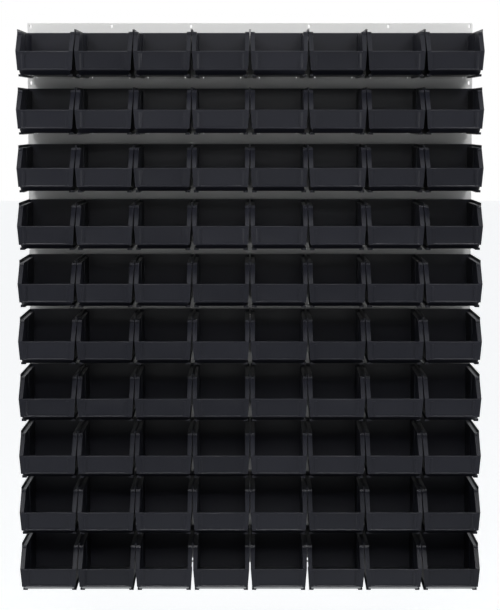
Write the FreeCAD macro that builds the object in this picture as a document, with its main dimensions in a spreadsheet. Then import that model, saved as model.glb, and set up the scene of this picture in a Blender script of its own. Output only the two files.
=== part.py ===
"""Louvered steel wall panel with eighty identical plastic hanging bins.

The panel is a shallow folded pan that stands against a wall. Rows of louver tongues are lanced out
of its face. Each bin has a hook along its back rim that drops over one tongue, so a bin comes off
when it is slid up and forward along the slope of the tongue.

Frame: millimetres, +Z up, +Y into the wall, bins facing -Y. The origin is the middle of the bottom
edge of the panel, in the plane that touches the wall.
"""

import FreeCAD, Part
import math
import os
import Sketcher

SIZES = {
    # folded sheet-steel panel
    "panel_width": 1219.2,
    "panel_height": 1499.0,
    "panel_depth": 8.0,
    "sheet_gauge": 1.5,
    "return_width": 20.0,
    # louver tongues, three rows of them to each row of bins
    "louver_width": 100.0,
    "louver_rise": 13.0,
    "louver_reach": 9.5,
    "louver_relief": 1.5,
    "louver_rows": 29.0,
    "louver_columns": 8.0,
    "rows_per_bin": 3.0,
    # upright slots for the wall screws
    "slot_width": 6.1,
    "slot_height": 10.3,
    "slot_inset": 8.3,
    "slot_offset_near": 161.5,
    "slot_offset_far": 378.7,
    "slot_offset_edge": 601.0,
    "side_slot_drop": 163.0,
    # the grid of bins
    "column_pitch": 152.4,
    "row_pitch": 151.5,
    "lowest_bin_base": -11.35,
    "hang_gap": 10.5,
    # one bin
    "bin_length": 230.5,
    "rim_width": 150.8,
    "tub_width": 132.0,
    "wall": 2.5,
    "ledge_height": 112.5,
    "skirt_height": 8.0,
    "skirt_wall": 2.0,
    "lip_wall": 1.5,
    "lip_rise": 7.0,
    "nose_height": 4.5,
    "nose_depth": 2.3,
    "front_height": 61.0,
    "front_width": 148.8,
    "front_wall": 3.0,
    "front_setback": 5.8,
    "toe_height": 11.3,
    "toe_setback": 27.0,
    "mouth_rise": 45.5,
    "mouth_run": 42.0,
    "bead_height": 1.0,
    "bead_width": 1.6,
    "ear_width": 141.0,
    "edge_round": 2.0,
    "corner_round": 5.0,
    # label holder moulded into the front wall
    "label_width": 98.0,
    "label_foot": 16.2,
    "label_head": 58.0,
    "label_depth": 1.0,
    "frame_head": 54.5,
    "frame_inner": 51.5,
    "frame_crest": 56.5,
    "frame_outer": 61.0,
    "frame_rise": 1.7,
    "sill_drop": 4.2,
    "sill_fall": 2.8,
    "sill_shoulder": 0.6,
    "sill_reach": 2.0,
    # pairs of ribs inside that hold a divider
    "rib_reach": 1.2,
    "rib_width": 2.0,
    "rib_spread": 5.0,
    # stacking feet along the two lower edges
    "foot_drop": 4.0,
    "foot_lap": 2.0,
    "foot_inner": 59.0,
    "foot_back": 67.5,
    "foot_front": 71.0,
    # hook along the back rim
    "hook_width": 120.0,
    "hook_wall": 2.0,
    "hook_gap": 0.8,
    "hook_drop": 4.6,
}

COLUMNS = 8
ROWS = 10
ROWS_OF_SINGLE_BINS = 6
NEAR = 0.01

doc = FreeCAD.newDocument("LouveredBinPanel")
sheet = doc.addObject("Spreadsheet::Sheet", "Sizes")
for row, (alias, number) in enumerate(SIZES.items(), start=1):
    sheet.set(f"A{row}", alias)
    sheet.set(f"B{row}", str(number))
    sheet.setAlias(f"B{row}", alias)
doc.recompute()


def of_sheet(formula):
    """Turns a formula in plain aliases into an expression that names the sheet."""
    words = formula.split()
    return " ".join(f"Sizes.{word}" if word in SIZES else word for word in words)


def new_body(name):
    body = doc.addObject("PartDesign::Body", name)
    body.Label = name
    return body


def origin_feature(body, role):
    return next(o for o in body.Origin.OriginFeatures if o.Role == role)


def new_sketch(body, name, plane, offset=None):
    """An empty sketch on one of the body's own origin planes, moved along its normal by offset."""
    sketch = body.newObject("Sketcher::SketchObject", name)
    sketch.AttachmentSupport = (origin_feature(body, plane), [""])
    sketch.MapMode = "FlatFace"
    if offset:
        sketch.setExpression("AttachmentOffset.Base.z", of_sheet(offset))
    return sketch


def fix_point(sketch, edge, end, axis, formula, where):
    """Holds one end of an edge at a distance from the origin that the sheet drives."""
    index = sketch.addConstraint(Sketcher.Constraint(axis, -1, 1, edge, end, where))
    sketch.setExpression(f"Constraints[{index}]", of_sheet(formula))


def add_outline(sketch, corners):
    """A closed outline of straight edges through corners, each a pair of formulas."""
    points = []
    for across, up in corners:
        values = [sketch.evalExpression(of_sheet(f"1 mm * ( {formula} )")) for formula in (across, up)]
        points.append(FreeCAD.Vector(values[0].Value, values[1].Value, 0))
    first = sketch.GeometryCount
    count = len(points)
    for k in range(count):
        sketch.addGeometry(Part.LineSegment(points[k], points[(k + 1) % count]))
    for k in range(count):
        sketch.addConstraint(Sketcher.Constraint("Coincident", first + k, 2, first + (k + 1) % count, 1))
    for k, (across, up) in enumerate(corners):
        fix_point(sketch, first + k, 1, "DistanceX", across, points[k].x)
        fix_point(sketch, first + k, 1, "DistanceY", up, points[k].y)


def mirrored(corners):
    return [(f"0 - ( {across} )", up) for across, up in corners]


def box_corners(left, right, low, high):
    return [(left, low), (right, low), (right, high), (left, high)]


def solid_feature(
    body, kind, name, sketch, length, side="One side", reverse=False, length_back=None, along=None
):
    """A Pad or a Pocket of the sketch. Raises if it doesn't add or take away material."""
    before = body.Shape.Volume if body.Tip else 0.0
    feature = body.newObject(f"PartDesign::{kind}", name)
    feature.Profile = sketch
    feature.SideType = side
    feature.Reversed = reverse
    if along:
        feature.UseCustomVector = True
        feature.Direction = FreeCAD.Vector(*along)
        feature.AlongSketchNormal = True
    if length == "through":
        feature.Type = "ThroughAll"
    else:
        feature.setExpression("Length", of_sheet(length))
    if length_back:
        feature.setExpression("Length2", of_sheet(length_back))
    sketch.Visibility = False
    doc.recompute()
    change = body.Shape.Volume - before
    if change * (1 if kind == "Pad" else -1) <= 0:
        raise RuntimeError(f"{body.Label}: {name} changed the volume by {change}")
    return feature


def pad_outline(body, name, plane, outlines, length, **how):
    sketch = new_sketch(body, f"{name}Sketch", plane, how.pop("offset", None))
    for corners in outlines:
        add_outline(sketch, corners)
    return solid_feature(body, "Pad", name, sketch, length, **how)


def round_edges(body, name, radius, chosen):
    """Fillets the edges that the test chosen picks by their two ends."""
    base = body.Tip
    names = [
        f"Edge{number}"
        for number, edge in enumerate(base.Shape.Edges, start=1)
        if chosen(edge.Vertexes[0].Point, edge.Vertexes[-1].Point)
    ]
    fillet = body.newObject("PartDesign::Fillet", name)
    fillet.Base = (base, names)
    fillet.setExpression("Radius", of_sheet(radius))
    base.Visibility = False
    doc.recompute()
    return fillet


def pocket_outline(body, name, plane, outlines, length, **how):
    sketch = new_sketch(body, f"{name}Sketch", plane, how.pop("offset", None))
    for corners in outlines:
        add_outline(sketch, corners)
    return solid_feature(body, "Pocket", name, sketch, length, **how)


# ---------------------------------------------------------------- the bin

FRONT_AT = "( 0 - bin_length + front_setback * ( front_height - ( {0} ) ) / ( front_height - toe_height ) )"
HOOK_SLOPE = "( louver_reach / louver_rise )"
HOOK_LEAN = "sqrt( 1 + ( louver_reach / louver_rise ) ^ 2 )"
TIP_HEIGHT = "( ledge_height - wall - hook_gap )"


def mouth_line(depth):
    """The two ends of the sloping edge of the mouth, set back by depth behind its front face."""
    shift = f"{depth} * sqrt( 1 + ( mouth_run / mouth_rise ) ^ 2 )"
    low = (f"0 - bin_length + {shift}", "front_height")
    high = (f"0 - bin_length + mouth_run + {shift}", "front_height + mouth_rise")
    return low, high


def make_tub(body):
    """Side outline of the tub, as a solid block as wide as the tub."""
    outline = [
        ("0", "0"),
        ("0", "ledge_height"),
        ("0 - bin_length + mouth_run", "ledge_height"),
        ("0 - bin_length + mouth_run", "front_height + mouth_rise"),
        ("0 - bin_length", "front_height"),
        ("0 - bin_length + front_setback", "toe_height"),
        ("0 - bin_length + toe_setback", "0"),
    ]
    pad_outline(body, "Tub", "YZ_Plane", [outline], "tub_width", side="Symmetric")

    def low_or_back(start, end):
        at_back = max(abs(start.y), abs(end.y)) < NEAR and min(start.z, end.z) < NEAR
        at_base = max(start.z, end.z) < NEAR and abs(start.x - end.x) < NEAR
        return at_back or at_base

    round_edges(body, "TubRound", "corner_round", low_or_back)


def make_rim(body):
    """Ledges along both sides, with a skirt below, a sloping front end and a thin lip above.

    The back wall stands as high as the lips.
    """
    block = box_corners(
        "0 - bin_length + mouth_run", "0", "ledge_height - skirt_height", "ledge_height + lip_rise"
    )
    pad_outline(body, "Rim", "YZ_Plane", [block], "rim_width", side="Symmetric")
    above = box_corners("0 - bin_length", "0 - wall", "ledge_height", "ledge_height + 2 * lip_rise")
    pocket_outline(
        body, "LedgeTop", "YZ_Plane", [above], "rim_width - 2 * lip_wall", side="Symmetric"
    )
    under = box_corners(
        "tub_width / 2",
        "rim_width / 2 - skirt_wall",
        "ledge_height - 2 * skirt_height",
        "ledge_height - wall",
    )
    pocket_outline(
        body,
        "LedgeUnderside",
        "XZ_Plane",
        [under, mirrored(under)],
        "bin_length - mouth_run - skirt_wall",
        reverse=True,
    )
    nose = [
        ("0 - bin_length + mouth_run - 1", "ledge_height + lip_rise + 1"),
        ("0 - bin_length + mouth_run - 1", "ledge_height - nose_height"),
        ("0 - bin_length + mouth_run", "ledge_height - nose_height"),
        ("0 - bin_length + mouth_run + nose_depth", "ledge_height"),
        ("0 - bin_length + mouth_run + nose_depth", "ledge_height + lip_rise + 1"),
    ]
    pocket_outline(body, "LedgeNose", "YZ_Plane", [nose], "rim_width + 2", side="Symmetric")


def make_mouth(body):
    """Sloping flange up both sides of the mouth, with a raised bead along each edge."""
    low, high = mouth_line("0")
    low_back, high_back = mouth_line("wall")
    flange = [low, high, high_back, low_back]
    pad_outline(body, "Flange", "YZ_Plane", [flange], "rim_width", side="Symmetric")
    low_bed, high_bed = mouth_line("bead_height")
    bed = [low, high, high_bed, low_bed]
    pocket_outline(
        body, "FlangeBed", "YZ_Plane", [bed], "rim_width - 2 * bead_width", side="Symmetric"
    )
    pad_outline(
        body, "InnerBead", "YZ_Plane", [bed], "tub_width - 2 * wall + 2 * bead_width", side="Symmetric"
    )


def make_front(body):
    """Front wall almost as wide as the rim at its top, tapering to two ears beside the tub."""
    plate = [
        ("0 - bin_length", "front_height"),
        ("0 - bin_length + front_wall", "front_height"),
        ("0 - bin_length + front_setback + front_wall", "toe_height"),
        ("0 - bin_length + front_setback", "toe_height"),
    ]
    pad_outline(body, "FrontPlate", "YZ_Plane", [plate], "rim_width", side="Symmetric")
    beside = [
        ("front_width / 2", "front_height"),
        ("rim_width / 2", "ledge_height - skirt_height"),
        ("rim_width / 2 + 5", "ledge_height - skirt_height"),
        ("rim_width / 2 + 5", "toe_height - 1"),
        ("ear_width / 2", "toe_height - 1"),
    ]
    pocket_outline(
        body, "EarTaper", "XZ_Plane", [beside, mirrored(beside)], "bin_length + 10", reverse=True
    )


def round_front_top(body):
    """Rounds the top edge of the front wall, which the hand meets first."""

    def along_front_top(start, end):
        frontmost = max(start.y, end.y) < NEAR - SIZES["bin_length"]
        return frontmost and abs(start.x - end.x) > SIZES["tub_width"] / 2

    round_edges(body, "FrontTopRound", "edge_round", along_front_top)


def make_inside(body):
    """The hollow of the tub, open at the top and above the front wall."""
    hollow = [
        ("0 - wall", "wall"),
        ("0 - wall", "ledge_height + 2 * lip_rise"),
        ("0 - bin_length - 10", "ledge_height + 2 * lip_rise"),
        ("0 - bin_length - 10", "front_height"),
        ("0 - bin_length + front_wall", "front_height"),
        ("0 - bin_length + front_setback + front_wall", "toe_height"),
        ("0 - bin_length + toe_setback + 1", "wall"),
    ]
    pocket_outline(
        body, "Hollow", "YZ_Plane", [hollow], "tub_width - 2 * wall", side="Symmetric"
    )


def make_divider_ribs(body):
    """Two pairs of upright ribs, one pair on each side wall, half-way along."""
    ribs = []
    for sign in ("-", "+"):
        middle = f"0 - bin_length / 2 {sign} rib_spread / 2"
        rib = box_corners(
            "tub_width / 2 - wall - rib_reach",
            "tub_width / 2 - wall / 2",
            f"{middle} - rib_width / 2",
            f"{middle} + rib_width / 2",
        )
        ribs += [rib, mirrored(rib)]
    pad_outline(body, "DividerRibs", "XY_Plane", ribs, "ledge_height - wall")


def make_label_holder(body):
    """Shallow recess for a card in the front wall, with a sloping sill and two raised sides."""
    head, foot = FRONT_AT.format("label_head"), FRONT_AT.format("label_foot")
    recess = [
        (f"{head} - 5", "label_head"),
        (f"{head} + label_depth", "label_head"),
        (f"{foot} + label_depth", "label_foot"),
        (f"{foot} - 5", "label_foot"),
    ]
    pocket_outline(body, "LabelRecess", "YZ_Plane", [recess], "label_width", side="Symmetric")
    under = FRONT_AT.format("label_foot - sill_drop")
    sill = [
        (f"{foot} + label_depth", "label_foot"),
        (f"{foot} - sill_shoulder", "label_foot"),
        (f"{foot} - sill_reach", "label_foot - sill_fall"),
        (f"{under} - sill_reach / 2", "label_foot - sill_drop"),
        (f"{under} + label_depth", "label_foot - sill_drop"),
    ]
    pad_outline(body, "LabelSill", "YZ_Plane", [sill], "2 * frame_outer", side="Symmetric")
    foot_height = "label_foot - sill_drop / 2"
    front = FRONT_AT.format(foot_height)
    side = [
        ("frame_inner", f"{front} + label_depth"),
        ("frame_inner", f"{front} - frame_rise"),
        ("frame_crest", f"{front} - frame_rise"),
        ("frame_outer", front),
        ("frame_outer", f"{front} + label_depth"),
    ]
    sketch = new_sketch(body, "LabelSidesSketch", "XY_Plane", foot_height)
    for corners in (side, mirrored(side)):
        add_outline(sketch, corners)
    lean = SIZES["front_setback"] / (SIZES["front_height"] - SIZES["toe_height"])
    solid_feature(
        body, "Pad", "LabelSides", sketch, f"frame_head - ( {foot_height} )", along=(0, -lean, 1)
    )


def make_feet(body):
    """Two feet along the lower edges, spreading towards the front."""
    foot = [
        ("foot_inner", "-1"),
        ("foot_back", "-1"),
        ("foot_front", "toe_setback - bin_length + 3"),
        ("foot_inner", "toe_setback - bin_length + 3"),
    ]
    pad_outline(
        body,
        "Feet",
        "XY_Plane",
        [foot, mirrored(foot)],
        "foot_lap",
        side="Two sides",
        length_back="foot_drop",
    )


def make_hook(body):
    """Hook along the back rim, whose lip lies parallel to the louver tongue that it hangs on."""
    tongue_back = f"hang_gap - louver_reach + sheet_gauge * {HOOK_LEAN}"
    face = f"( {tongue_back} + hook_gap * {HOOK_LEAN} )"
    back = f"( {face} + hook_wall * {HOOK_LEAN} )"
    outline = [
        ("0 - wall / 2", "ledge_height"),
        (f"{back} - ( ledge_height - {TIP_HEIGHT} ) * {HOOK_SLOPE}", "ledge_height"),
        (f"{back} + hook_drop * {HOOK_SLOPE}", f"{TIP_HEIGHT} - hook_drop"),
        (f"{face} + hook_drop * {HOOK_SLOPE}", f"{TIP_HEIGHT} - hook_drop"),
        (f"{face} - hook_gap * {HOOK_SLOPE}", "ledge_height - wall"),
        ("0 - wall / 2", "ledge_height - wall"),
    ]
    pad_outline(body, "Hook", "YZ_Plane", [outline], "hook_width", side="Symmetric")


def make_bin():
    """The bin that every place in the grid repeats. Its back stands in the plane y = 0."""
    body = new_body("bin_master")
    make_tub(body)
    make_rim(body)
    make_mouth(body)
    make_front(body)
    make_inside(body)
    make_divider_ribs(body)
    make_label_holder(body)
    make_feet(body)
    make_hook(body)
    round_front_top(body)
    return body


# ---------------------------------------------------------------- the panel


def add_slot(sketch, across, up):
    """An upright slot with round ends, centred at the formulas across and up."""
    values = [sketch.evalExpression(of_sheet(f"1 mm * ( {formula} )")).Value for formula in (across, up)]
    centre = FreeCAD.Vector(values[0], values[1], 0)
    radius = SIZES["slot_width"] / 2
    half = SIZES["slot_height"] / 2 - radius
    first = sketch.GeometryCount
    normal = FreeCAD.Vector(0, 0, 1)
    top = Part.Circle(centre + FreeCAD.Vector(0, half, 0), normal, radius)
    bottom = Part.Circle(centre - FreeCAD.Vector(0, half, 0), normal, radius)
    right, left = centre + FreeCAD.Vector(radius, 0, 0), centre - FreeCAD.Vector(radius, 0, 0)
    rise = FreeCAD.Vector(0, half, 0)
    sketch.addGeometry(Part.ArcOfCircle(top, 0, math.pi))
    sketch.addGeometry(Part.LineSegment(left + rise, left - rise))
    sketch.addGeometry(Part.ArcOfCircle(bottom, math.pi, 2 * math.pi))
    sketch.addGeometry(Part.LineSegment(right - rise, right + rise))
    for edge in range(4):
        sketch.addConstraint(
            Sketcher.Constraint("Tangent", first + edge, 2, first + (edge + 1) % 4, 1)
        )
    sketch.addConstraint(Sketcher.Constraint("Vertical", first + 1))
    sketch.addConstraint(Sketcher.Constraint("Equal", first, first + 2))
    size = sketch.addConstraint(Sketcher.Constraint("Radius", first, radius))
    sketch.setExpression(f"Constraints[{size}]", of_sheet("slot_width / 2"))
    for edge, sign in ((first, "+"), (first + 2, "-")):
        height = f"{up} {sign} ( slot_height - slot_width ) / 2"
        fix_point(sketch, edge, 3, "DistanceY", height, sketch.Geometry[edge].Center.y)
    fix_point(sketch, first, 3, "DistanceX", across, centre.x)


def make_panel():
    body = new_body("louvered_panel")
    outside = box_corners("0 - panel_width / 2", "panel_width / 2", "0", "panel_height")
    pad_outline(body, "Pan", "XZ_Plane", [outside], "panel_depth")
    inside = box_corners(
        "0 - panel_width / 2 + sheet_gauge",
        "panel_width / 2 - sheet_gauge",
        "sheet_gauge",
        "panel_height - sheet_gauge",
    )
    pocket_outline(
        body, "PanInside", "XZ_Plane", [inside], "panel_depth - sheet_gauge", reverse=True
    )
    opening = box_corners(
        "0 - panel_width / 2 + return_width",
        "panel_width / 2 - return_width",
        "return_width",
        "panel_height - return_width",
    )
    pad_outline(body, "ReturnFlange", "XZ_Plane", [outside, opening], "sheet_gauge")

    slots = new_sketch(body, "SlotSketch", "XZ_Plane")
    low, high = "slot_inset", "panel_height - slot_inset"
    for offset in ("slot_offset_near", "slot_offset_far", "slot_offset_edge"):
        for across in (f"0 - {offset}", offset):
            for up in (low, high):
                add_slot(slots, across, up)
    for across in ("0 - slot_offset_edge", "slot_offset_edge"):
        add_slot(slots, across, "panel_height - side_slot_drop")
    solid_feature(body, "Pocket", "Slots", slots, "panel_depth + 5", reverse=True)
    add_louvers(body)
    return body


def add_louvers(body):
    """Tongues lanced out of the face, in a grid that puts one behind the back rim of every bin."""
    first_column = "0 - ( louver_columns - 1 ) / 2 * column_pitch"
    spacing = "row_pitch / rows_per_bin"
    lowest = f"( lowest_bin_base + {TIP_HEIGHT} - louver_rise - {spacing} )"
    opening = box_corners(
        f"{first_column} - louver_width / 2 - louver_relief",
        f"{first_column} + louver_width / 2 + louver_relief",
        f"{lowest} + sheet_gauge",
        f"{lowest} + louver_rise + louver_relief",
    )
    opening_cut = pocket_outline(
        body, "LouverOpening", "XZ_Plane", [opening], "panel_depth + 5", reverse=True
    )
    lean = f"sheet_gauge * {HOOK_LEAN}"
    tongue = [
        ("0 - panel_depth", lowest),
        ("0 - panel_depth - louver_reach", f"{lowest} + louver_rise"),
        (f"0 - panel_depth - louver_reach + {lean}", f"{lowest} + louver_rise"),
        (f"0 - panel_depth + sheet_gauge", f"{lowest} + sheet_gauge"),
        (f"0 - panel_depth + sheet_gauge", f"{lowest}"),
    ]
    tongue_pad = pad_outline(
        body,
        "LouverTongue",
        "YZ_Plane",
        [tongue],
        "louver_width",
        side="Symmetric",
        offset=first_column,
    )
    grid = body.newObject("PartDesign::MultiTransform", "LouverGrid")
    grid.Originals = [opening_cut, tongue_pad]
    along = doc.addObject("PartDesign::LinearPattern", "LouverColumns")
    along.Direction = (origin_feature(body, "X_Axis"), [""])
    along.setExpression("Length", of_sheet("( louver_columns - 1 ) * column_pitch"))
    along.setExpression("Occurrences", of_sheet("louver_columns"))
    upward = doc.addObject("PartDesign::LinearPattern", "LouverRows")
    upward.Direction = (origin_feature(body, "Z_Axis"), [""])
    upward.setExpression("Length", of_sheet(f"( louver_rows - 1 ) * {spacing}"))
    upward.setExpression("Occurrences", of_sheet("louver_rows"))
    body.addObject(along)
    body.addObject(upward)
    grid.Transformations = [along, upward]
    body.Tip = grid
    doc.recompute()


# ---------------------------------------------------------------- the grid of bins


def hang(master, name, row, column):
    """A copy of the bin on the louver of its row, counted from the top, and its column."""
    link = doc.addObject("App::Link", name)
    link.LinkedObject = master
    link.Label = name
    link.setExpression("Placement.Base.x", of_sheet(f"( {column} - ( louver_columns + 1 ) / 2 ) * column_pitch"))
    link.setExpression("Placement.Base.y", of_sheet("0 - panel_depth - hang_gap"))
    link.setExpression("Placement.Base.z", of_sheet(f"lowest_bin_base + {ROWS - row} * row_pitch"))
    return link


def hang_all(master):
    """Every bin. Those of the lower rows are gathered into one sub-part for each row."""
    parts = []
    for row in range(1, ROWS + 1):
        bins = [
            hang(master, f"bin_row{row:02d}_col{column}", row, column)
            for column in range(1, COLUMNS + 1)
        ]
        if row <= ROWS_OF_SINGLE_BINS:
            parts += bins
            continue
        group = doc.addObject("Part::Compound", f"bins_row{row:02d}")
        group.Label = f"bins_row{row:02d}"
        group.Links = bins
        parts.append(group)
    return parts


def main():
    parts = [make_panel()]
    parts += hang_all(make_bin())
    doc.recompute()
    for item in doc.Objects:
        if "Invalid" in item.State or "Error" in item.State:
            raise RuntimeError(f"{item.Label} failed: {item.State}")
    shapes = {part.Label: Part.getShape(part) for part in parts}
    for label, shape in shapes.items():
        if shape.isNull() or not shape.isValid():
            raise RuntimeError(f"{label} has no valid shape")
    os.makedirs("parts", exist_ok=True)
    for label, shape in shapes.items():
        shape.exportStep(f"parts/{label}.step")
        box = shape.BoundBox
        print(f"{label}: {len(shape.Solids)} solids, {shape.Volume / 1000:.1f} cm3, "
              f"x {box.XMin:.1f}..{box.XMax:.1f} y {box.YMin:.1f}..{box.YMax:.1f} "
              f"z {box.ZMin:.1f}..{box.ZMax:.1f}")


main()
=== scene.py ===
import math

import bpy
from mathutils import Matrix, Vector


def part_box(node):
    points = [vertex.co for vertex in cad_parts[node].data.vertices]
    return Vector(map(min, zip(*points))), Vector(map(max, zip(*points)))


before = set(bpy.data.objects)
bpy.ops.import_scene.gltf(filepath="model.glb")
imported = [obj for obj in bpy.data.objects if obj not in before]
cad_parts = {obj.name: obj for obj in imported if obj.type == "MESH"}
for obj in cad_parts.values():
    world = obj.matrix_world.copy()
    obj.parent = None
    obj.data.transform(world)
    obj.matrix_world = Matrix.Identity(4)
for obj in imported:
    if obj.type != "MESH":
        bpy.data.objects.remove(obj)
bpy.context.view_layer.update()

PANEL = "louvered_panel"
PANEL_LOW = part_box(PANEL)[0]
COLUMN_PITCH = 0.1524
ROW_PITCH = 0.1515

# Scales of patterns are in features to the metre. Pairs are the limits between which a pattern varies.

# moulded plastic of the bins
FLOW_SCALE = 14.0
FLOW_COLOURS = ((0.009, 0.0095, 0.014), (0.014, 0.0145, 0.021))
BATCH_COLOURS = ((0.007, 0.0075, 0.012), (0.017, 0.0175, 0.0245))
BATCH_SHARE = 0.5
DULL_SCALE = 30.0
DULL_RANGE = (0.3, 0.7)
PLASTIC_ROUGHNESS = (0.29, 0.35)
PLASTIC_SPECULAR = 0.32
GRAIN_SCALE = 900.0
GRAIN_STRENGTH = 0.08
GRAIN_HEIGHT = 0.0002
# one cell of the grid of bins: its offset upward, and a depth that holds the whole object
CELL_LIFT = 0.029
CELL_DEPTH = 20.0
# rounded edges of the bins
MOULD_RADIUS = 0.0005
SHARP_ANGLE = math.radians(35.0)
FLAT_ANGLE = math.radians(0.5)
WELD_DISTANCE = 0.00001

# powder coat of the panel
COAT_SCALE = 5.0
COAT_COLOURS = ((0.72, 0.715, 0.70), (0.77, 0.765, 0.75))
SHEEN_SCALE = 90.0
COAT_ROUGHNESS = (0.38, 0.52)
PEEL_SCALE = 420.0
PEEL_STRENGTH = 0.12
PEEL_HEIGHT = 0.0005

# pale floor under the hanging panel
FLOOR_SCALE = 3.0
FLOOR_COLOURS = ((0.93, 0.93, 0.93), (0.95, 0.95, 0.95))
FLOOR_ROUGHNESS = 0.8
FLOOR_GLOW = 0.52
FLOOR_SIZE = 60.0
FLOOR_DROP = 0.55

# camera
SENSOR = 36.0
LENS = 93.3
SHIFT = -0.14
EYE_HEIGHT = 1.238
EYE_DISTANCE = 4.361
EYE_TILT = math.radians(3.651)
NEAREST_SEEN = 0.05
FARTHEST_SEEN = 200.0

# brightness of the studio by the height of the direction, from straight down to straight up
SKY = (
    (-1.0, 1.3),
    (-0.6, 1.3),
    (-0.46, 0.2),
    (-0.2, 0.2),
    (-0.15, 0.6),
    (-0.06, 0.6),
    (0.0, 0.15),
    (0.15, 0.25),
    (0.25, 0.85),
    (0.55, 0.85),
    (0.65, 0.2),
    (1.0, 0.3),
)
SKY_TINT = (0.94, 0.97, 1.0, 1.0)
WHITE = (1.0, 1.0, 1.0, 1.0)

# softboxes: metres, watts, and a beam in degrees. Those at the sides are on the right, and mirrored.
WIDEST_BEAM = 180.0
SIDE_LIGHTS = {
    "key": {"place": (1.2, -1.3, 2.3), "target": (0.3, -0.1, 1.1), "size": (0.6, 0.4), "power": 11.0},
    "strip": {"place": (2.4, -2.4, 0.8), "target": (0.2, -0.2, 0.8), "size": (0.3, 1.2), "power": 5.0},
}
MIDDLE_LIGHTS = {
    "high_fill": {
        "place": (0.0, -4.3, 2.3),
        "target": (0.0, -0.1, 0.0),
        "size": (1.6, 0.5),
        "power": 3.4,
        "beam": 45.0,
    },
    "low_fill": {"place": (0.0, -4.0, 0.2), "target": (0.0, -0.1, 0.5), "size": (1.6, 0.4), "power": 1.8},
    "top_rim": {"place": (0.0, -0.45, 2.2), "target": (0.0, -0.2, 1.2), "size": (1.8, 0.3), "power": 2.5},
}


# ------------------------------------------------------------------ small helpers for materials


def new_material(name):
    """A material with its node tree, and the tree's Principled shader."""
    material = bpy.data.materials.new(name)
    material.use_nodes = True
    tree = material.node_tree
    return material, tree, tree.nodes["Principled BSDF"]


def place_on_object(tree):
    """Where a point lies in the object's own axes, so that a pattern stays with its piece."""
    return tree.nodes.new("ShaderNodeTexCoord").outputs["Object"]


def noise(tree, where, scale, detail=3.0, roughness=0.55):
    """A cloudy pattern from 0 to 1."""
    node = tree.nodes.new("ShaderNodeTexNoise")
    node.inputs["Scale"].default_value = scale
    node.inputs["Detail"].default_value = detail
    node.inputs["Roughness"].default_value = roughness
    tree.links.new(where, node.inputs["Vector"])
    return node.outputs["Fac"]


def spread(tree, value, source, limits):
    """Maps a value from the range source onto the range limits."""
    node = tree.nodes.new("ShaderNodeMapRange")
    node.inputs["From Min"].default_value = source[0]
    node.inputs["From Max"].default_value = source[1]
    node.inputs["To Min"].default_value = limits[0]
    node.inputs["To Max"].default_value = limits[1]
    tree.links.new(value, node.inputs["Value"])
    return node.outputs["Result"]


def colour_mix(tree):
    node = tree.nodes.new("ShaderNodeMix")
    node.data_type = "RGBA"
    return node


def varied_colour(tree, factor, limits):
    """A colour between the two limits, as the factor says."""
    node = colour_mix(tree)
    node.inputs["A"].default_value = (*limits[0], 1.0)
    node.inputs["B"].default_value = (*limits[1], 1.0)
    tree.links.new(factor, node.inputs["Factor"])
    return node.outputs["Result"]


def blended(tree, first, second, share):
    """The first colour with a fixed share of the second in it."""
    node = colour_mix(tree)
    node.inputs["Factor"].default_value = share
    tree.links.new(first, node.inputs["A"])
    tree.links.new(second, node.inputs["B"])
    return node.outputs["Result"]


def bump(tree, height, strength, distance):
    node = tree.nodes.new("ShaderNodeBump")
    node.inputs["Strength"].default_value = strength
    node.inputs["Distance"].default_value = distance
    tree.links.new(height, node.inputs["Height"])
    return node.outputs["Normal"]


def vector_step(tree, operation, where, amounts):
    """One operation on a place, with a fixed amount along each axis."""
    node = tree.nodes.new("ShaderNodeVectorMath")
    node.operation = operation
    node.inputs[1].default_value = amounts
    tree.links.new(where, node.inputs[0])
    return node.outputs["Vector"]


def value_of_bin(tree, where):
    """A random value for each place in the grid of bins, the same all over one bin."""
    lifted = vector_step(tree, "ADD", where, (0.0, CELL_DEPTH / 2.0, CELL_LIFT))
    cell = vector_step(tree, "SNAP", lifted, (COLUMN_PITCH, CELL_DEPTH, ROW_PITCH))
    chance = tree.nodes.new("ShaderNodeTexWhiteNoise")
    tree.links.new(cell, chance.inputs["Vector"])
    return chance.outputs["Value"]


# ------------------------------------------------------------------ materials


def bin_plastic():
    """Blue-black moulded polypropylene: flow marks, duller patches, fine grain, a tone for each bin."""
    material, tree, shader = new_material("bin_plastic")
    where = place_on_object(tree)
    flow = varied_colour(tree, noise(tree, where, FLOW_SCALE), FLOW_COLOURS)
    batch = varied_colour(tree, value_of_bin(tree, where), BATCH_COLOURS)
    tree.links.new(blended(tree, flow, batch, BATCH_SHARE), shader.inputs["Base Color"])
    dull = noise(tree, where, DULL_SCALE, detail=2.0)
    tree.links.new(spread(tree, dull, DULL_RANGE, PLASTIC_ROUGHNESS), shader.inputs["Roughness"])
    grain = noise(tree, where, GRAIN_SCALE, detail=1.0)
    tree.links.new(bump(tree, grain, GRAIN_STRENGTH, GRAIN_HEIGHT), shader.inputs["Normal"])
    shader.inputs["Specular IOR Level"].default_value = PLASTIC_SPECULAR
    return material


def powder_coat():
    """Light grey powder coat on steel, with its orange-peel ripple."""
    material, tree, shader = new_material("panel_powder_coat")
    where = place_on_object(tree)
    colour = varied_colour(tree, noise(tree, where, COAT_SCALE), COAT_COLOURS)
    tree.links.new(colour, shader.inputs["Base Color"])
    sheen = noise(tree, where, SHEEN_SCALE, detail=4.0)
    tree.links.new(spread(tree, sheen, (0.0, 1.0), COAT_ROUGHNESS), shader.inputs["Roughness"])
    peel = noise(tree, where, PEEL_SCALE, detail=1.0)
    tree.links.new(bump(tree, peel, PEEL_STRENGTH, PEEL_HEIGHT), shader.inputs["Normal"])
    return material


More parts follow.
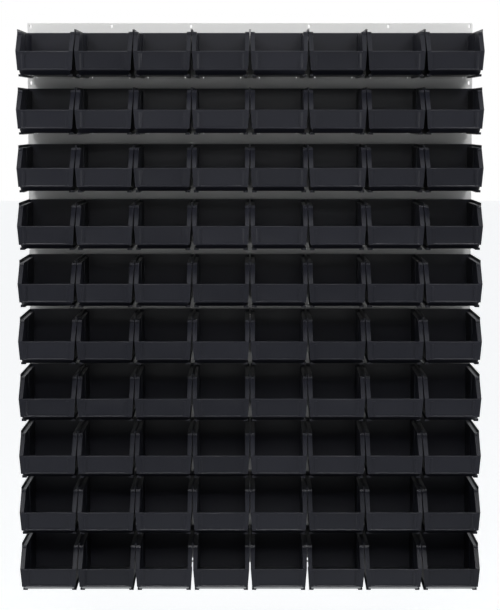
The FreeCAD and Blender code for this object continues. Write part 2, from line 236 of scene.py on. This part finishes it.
def floor_paint():
    """Pale paint with a little light of its own, which brings it near the white background."""
    material, tree, shader = new_material("pale_floor")
    tone = noise(tree, place_on_object(tree), FLOOR_SCALE)
    tree.links.new(varied_colour(tree, tone, FLOOR_COLOURS), shader.inputs["Base Color"])
    shader.inputs["Roughness"].default_value = FLOOR_ROUGHNESS
    shader.inputs["Emission Color"].default_value = WHITE
    shader.inputs["Emission Strength"].default_value = FLOOR_GLOW
    return material


# ------------------------------------------------------------------ the pieces


def soften_edges(piece):
    """Rounds the sharp edges of a bin as its mould leaves them."""
    weld = piece.modifiers.new("weld", "WELD")
    weld.merge_threshold = WELD_DISTANCE
    flat = piece.modifiers.new("flat", "DECIMATE")
    flat.decimate_type = "DISSOLVE"
    flat.angle_limit = FLAT_ANGLE
    edge = piece.modifiers.new("edge", "BEVEL")
    edge.width = MOULD_RADIUS
    edge.segments = 2
    edge.limit_method = "ANGLE"
    edge.angle_limit = SHARP_ANGLE
    edge.harden_normals = True


def dress(piece, material):
    """Gives a CAD node its material, as the only material of its mesh."""
    piece.data.materials.clear()
    piece.data.materials.append(material)


def dress_nodes():
    plastic = bin_plastic()
    coat = powder_coat()
    for name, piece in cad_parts.items():
        if name == PANEL:
            dress(piece, coat)
        else:
            dress(piece, plastic)
            soften_edges(piece)


# ------------------------------------------------------------------ stage, light and camera


def make_floor():
    """The floor is there for the camera. It lights no piece and shows in none."""
    place = (0.0, 0.0, PANEL_LOW.z - FLOOR_DROP)
    bpy.ops.mesh.primitive_plane_add(size=FLOOR_SIZE, location=place)
    floor = bpy.context.object
    floor.name = "floor"
    floor.data.materials.append(floor_paint())
    floor.visible_glossy = False
    floor.visible_diffuse = False


def sky_brightness(tree):
    """The brightness that SKY has at the height of the direction."""
    direction = tree.nodes.new("ShaderNodeTexCoord").outputs["Generated"]
    split = tree.nodes.new("ShaderNodeSeparateXYZ")
    tree.links.new(direction, split.inputs["Vector"])
    ramp = tree.nodes.new("ShaderNodeValToRGB")
    stops = ramp.color_ramp.elements
    while len(stops) < len(SKY):
        stops.new(0.5)
    for stop, (height, light) in zip(stops, SKY):
        stop.position = (height + 1.0) / 2.0
        stop.color = (light, light, light, 1.0)
    tree.links.new(spread(tree, split.outputs["Z"], (-1.0, 1.0), (0.0, 1.0)), ramp.inputs["Fac"])
    return ramp.outputs["Color"]


def make_world():
    """White to the camera. To the object, a studio of bright and dim bands one above the other."""
    world = bpy.data.worlds.new("studio")
    bpy.context.scene.world = world
    world.use_nodes = True
    tree = world.node_tree
    seen = tree.nodes["Background"]
    seen.inputs["Color"].default_value = WHITE
    seen.inputs["Strength"].default_value = 1.0
    lit = tree.nodes.new("ShaderNodeBackground")
    lit.inputs["Color"].default_value = SKY_TINT
    tree.links.new(sky_brightness(tree), lit.inputs["Strength"])
    ray = tree.nodes.new("ShaderNodeLightPath")
    mix = tree.nodes.new("ShaderNodeMixShader")
    tree.links.new(ray.outputs["Is Camera Ray"], mix.inputs["Fac"])
    tree.links.new(lit.outputs["Background"], mix.inputs[1])
    tree.links.new(seen.outputs["Background"], mix.inputs[2])
    tree.links.new(mix.outputs["Shader"], tree.nodes["World Output"].inputs["Surface"])


def add_soft_light(name, place, target, size, power, beam=WIDEST_BEAM):
    """A softbox of a width and a height at its place, turned to its target."""
    light = bpy.data.lights.new(name, "AREA")
    light.shape = "RECTANGLE"
    light.size, light.size_y = size
    light.energy = power
    light.spread = math.radians(beam)
    lamp = bpy.data.objects.new(name, light)
    bpy.context.scene.collection.objects.link(lamp)
    lamp.location = place
    lamp.rotation_euler = (Vector(target) - Vector(place)).to_track_quat("-Z", "Y").to_euler()


def on_side(point, side):
    """A point of the right side, or its mirror image for side -1."""
    return (side * point[0], point[1], point[2])


def make_lights():
    for side, side_name in ((-1.0, "left"), (1.0, "right")):
        for kind, light in SIDE_LIGHTS.items():
            place = on_side(light["place"], side)
            target = on_side(light["target"], side)
            add_soft_light(f"{side_name}_{kind}", place, target, light["size"], light["power"])
    for name, light in MIDDLE_LIGHTS.items():
        add_soft_light(name, **light)


def make_camera():
    camera = bpy.data.cameras.new("camera")
    camera.sensor_fit = "AUTO"
    camera.sensor_width = SENSOR
    camera.lens = LENS
    camera.shift_y = SHIFT
    camera.clip_start = NEAREST_SEEN
    camera.clip_end = FARTHEST_SEEN
    eye = bpy.data.objects.new("camera", camera)
    bpy.context.scene.collection.objects.link(eye)
    eye.location = (0.0, -EYE_DISTANCE, PANEL_LOW.z + EYE_HEIGHT)
    eye.rotation_euler = (math.pi / 2.0 - EYE_TILT, 0.0, 0.0)
    bpy.context.scene.camera = eye


bpy.context.scene.view_settings.view_transform = "Standard"
dress_nodes()
make_floor()
make_world()
make_lights()
make_camera()
